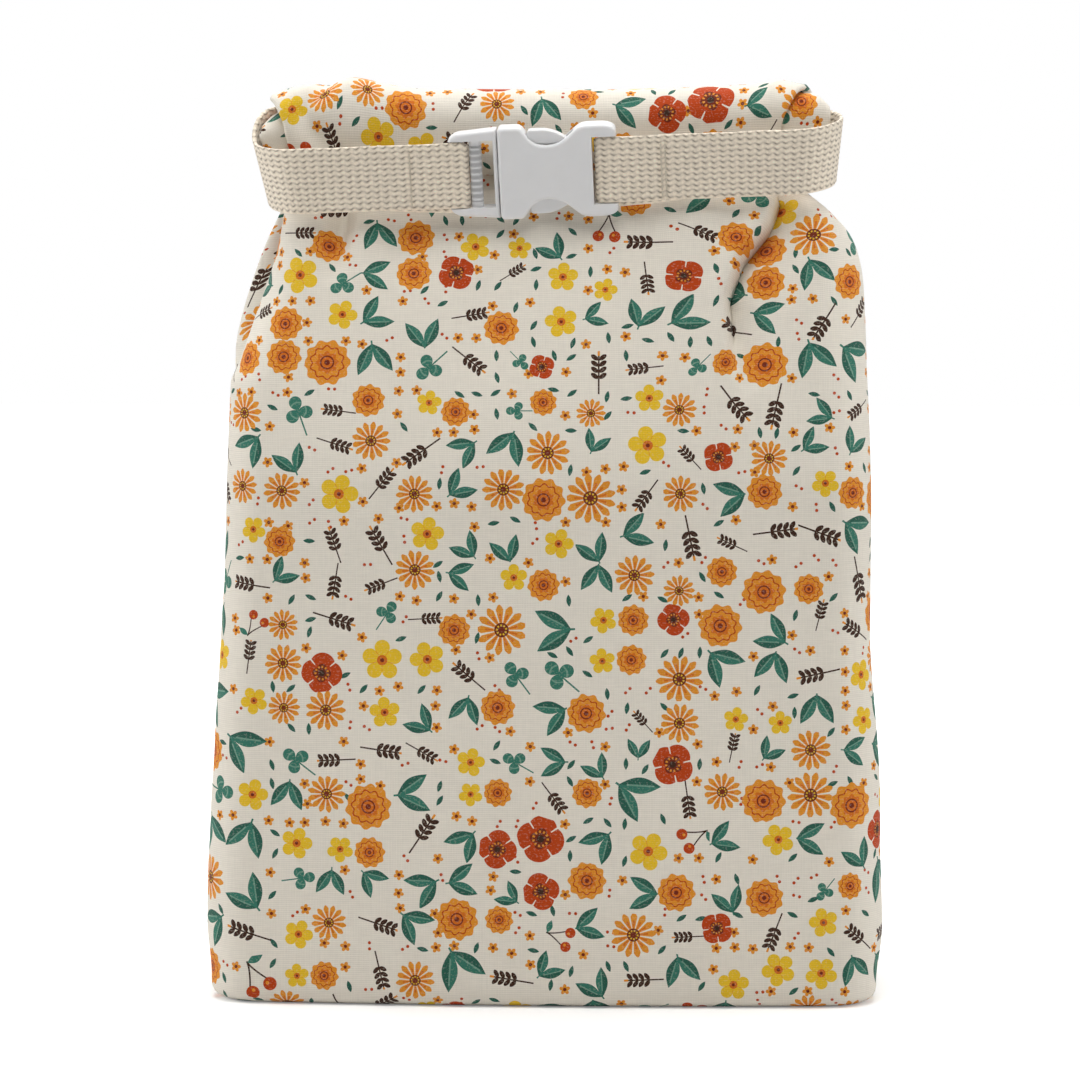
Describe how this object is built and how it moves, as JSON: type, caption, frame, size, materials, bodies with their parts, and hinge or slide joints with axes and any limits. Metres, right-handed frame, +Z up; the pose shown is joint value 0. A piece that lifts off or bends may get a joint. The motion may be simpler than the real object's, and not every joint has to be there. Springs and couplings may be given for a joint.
{
  "type": "bread bag",
  "caption": "Boxy lined canvas bread bag whose mouth rolls down to the front and is held by a webbing strap with a side-release buckle.",
  "frame": {"origin": "middle of the base, on the surface that the bag stands on", "axes": "+Z up, the front with the buckle faces -Y, +X to the right as seen from the front"},
  "size_m": [0.2548, 0.1, 0.3455],
  "materials": {
    "canvas": "printed cotton canvas, matt",
    "lining": "coated, wipe-clean, slight sheen",
    "webbing": "natural cotton webbing, matt",
    "buckle": "moulded, satin"
  },
  "bodies": {
    "bag": {"front_canvas": "canvas", "back_canvas": "canvas", "base_canvas": "canvas", "front_lining": "lining", "back_lining": "lining", "base_lining": "lining"},
    "roll_top": {"rolled_canvas": "canvas", "rolled_lining": "lining", "back_strap": "webbing", "right_strap_end": "webbing", "buckle_socket": "buckle"},
    "plug_half": {"buckle_plug": "buckle", "left_strap_end": "webbing"},
    "upper_arm": {"upper_catch_arm": "buckle"},
    "lower_arm": {"lower_catch_arm": "buckle"}
  },
  "joints": [
    {"name": "roll_flip", "type": "hinge", "parent": "bag", "child": "roll_top", "pos_m": [0, 0.013, 0.306], "axis": [-1, 0, 0], "range_deg": [0, 95]},
    {"name": "buckle_pull", "type": "slide", "parent": "roll_top", "child": "plug_half", "axis": [-0.9992, 0.0083, -0.0393], "range_m": [0, 0.028], "deforming": ["upper_catch_arm", "lower_catch_arm", "left_strap_end"]},
    {"name": "upper_arm_press", "type": "hinge", "parent": "plug_half", "child": "upper_arm", "pos_m": [-0.017, -0.02571, 0.32396], "axis": [0, 0.9781, 0.2079], "range_deg": [0, 15], "stiffness_Nm_per_rad": 0.4},
    {"name": "lower_arm_press", "type": "hinge", "parent": "plug_half", "child": "lower_arm", "pos_m": [-0.01617, -0.02139, 0.30363], "axis": [0, -0.9781, -0.2079], "range_deg": [0, 15], "stiffness_Nm_per_rad": 0.4}
  ]
}
